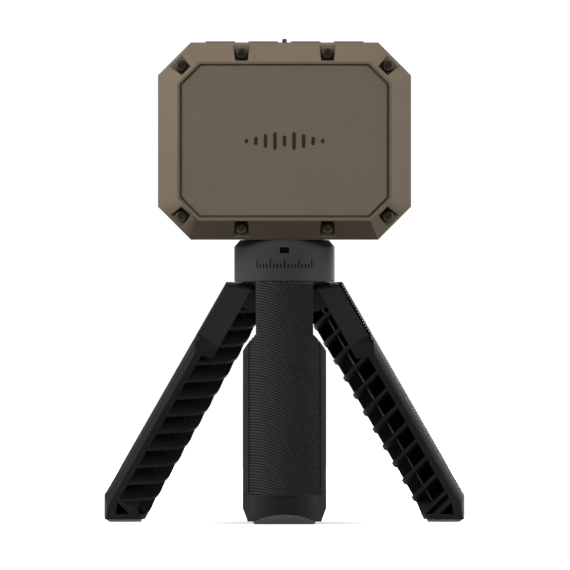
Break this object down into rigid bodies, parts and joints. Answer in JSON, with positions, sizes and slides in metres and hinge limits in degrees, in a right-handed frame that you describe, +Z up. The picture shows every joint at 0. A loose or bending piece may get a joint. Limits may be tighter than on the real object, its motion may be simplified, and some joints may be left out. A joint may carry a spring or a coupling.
{
  "type": "launch monitor",
  "caption": "Small hand-held launch monitor: a bevelled octagonal case with screws in the bevel, on a pan head and clamp collar over a folding tripod with ribbed legs.",
  "frame": {"origin": "on the floor, under the middle of the outer box of the open tripod", "axes": "+Z up along the pan axis, -Y the way the front panel looks, +X to its right as seen from in front"},
  "size_m": [0.1102, 0.1, 0.1473],
  "materials": {
    "face": "satin, fine texture",
    "panel": "satin",
    "shell": "satin",
    "button": "satin",
    "black": "matte",
    "seal": "matte",
    "screw": "satin black",
    "board": "satin",
    "cell": "satin wrap",
    "steel": "satin",
    "glass": "gloss",
    "brass": "satin",
    "collar": "satin",
    "leg": "satin",
    "grip": "fine ridges",
    "foot": "matte"
  },
  "bodies": {
    "hub": {"hub": "black", "hinge_pin_front": "steel", "hinge_pin_right": "steel", "hinge_pin_left": "steel"},
    "head": {"front_bezel": "face", "radome_panel": "panel", "sight_post": "black", "housing_gasket": "seal", "rear_housing": "shell", "case_screw_1": "screw", "case_screw_2": "screw", "case_screw_3": "screw", "case_screw_4": "screw", "case_screw_5": "screw", "case_screw_6": "screw", "case_screw_7": "screw", "case_screw_8": "screw", "keypad_board": "board", "inner_chassis": "black", "battery": "cell", "main_board": "board", "radar_board": "board", "radar_shield": "steel", "sounder": "black", "charge_socket": "steel", "display_window": "glass", "display_module": "black", "tripod_insert": "brass", "pan_platform": "steel", "platform_pad": "seal", "pan_nut": "steel"},
    "collar": {"clamp_collar": "collar"},
    "port_lid": {"port_lid": "seal"},
    "power_button": {"button_power": "button"},
    "down_button": {"button_down": "button"},
    "up_button": {"button_up": "button"},
    "mode_button": {"button_mode": "button"},
    "front_leg": {"leg_front": "leg", "grip_front": "grip", "foot_pad_front": "foot"},
    "right_leg": {"leg_right": "leg", "grip_right": "grip", "foot_pad_right": "foot"},
    "left_leg": {"leg_left": "leg", "grip_left": "grip", "foot_pad_left": "foot"}
  },
  "joints": [
    {"name": "head_pan", "type": "hinge", "parent": "hub", "child": "head", "pos_m": [0, 0.01155, 0.08], "axis": [0, 0, 1], "continuous": true},
    {"name": "collar_twist", "type": "hinge", "parent": "hub", "child": "collar", "pos_m": [0, 0.01155, 0.08], "axis": [0, 0, 1], "range_deg": [0, 60]},
    {"name": "leg_front_fold", "type": "hinge", "parent": "hub", "child": "front_leg", "pos_m": [0, 0.00355, 0.0767], "axis": [1, 0, 0], "range_deg": [0, 33.5]},
    {"name": "leg_right_fold", "type": "hinge", "parent": "hub", "child": "right_leg", "pos_m": [0.00693, 0.01555, 0.0767], "axis": [-0.5, 0.866, 0], "range_deg": [0, 33.5]},
    {"name": "leg_left_fold", "type": "hinge", "parent": "hub", "child": "left_leg", "pos_m": [-0.00693, 0.01555, 0.0767], "axis": [-0.5, -0.866, 0], "range_deg": [0, 33.5]},
    {"name": "power_press", "type": "slide", "parent": "head", "child": "power_button", "axis": [0, 0, -1], "range_m": [0, 0.0006], "stiffness_N_per_m": 400, "springref_m": -0.0005},
    {"name": "down_press", "type": "slide", "parent": "head", "child": "down_button", "axis": [0, 0, -1], "range_m": [0, 0.0006], "stiffness_N_per_m": 400, "springref_m": -0.0005},
    {"name": "up_press", "type": "slide", "parent": "head", "child": "up_button", "axis": [0, 0, -1], "range_m": [0, 0.0006], "stiffness_N_per_m": 400, "springref_m": -0.0005},
    {"name": "mode_press", "type": "slide", "parent": "head", "child": "mode_button", "axis": [0, 0, -1], "range_m": [0, 0.0006], "stiffness_N_per_m": 400, "springref_m": -0.0005},
    {"name": "port_lid_swing", "type": "hinge", "parent": "head", "child": "port_lid", "pos_m": [0.03808, 0.01605, 0.102], "axis": [0, 1, 0], "range_deg": [0, 95]}
  ]
}
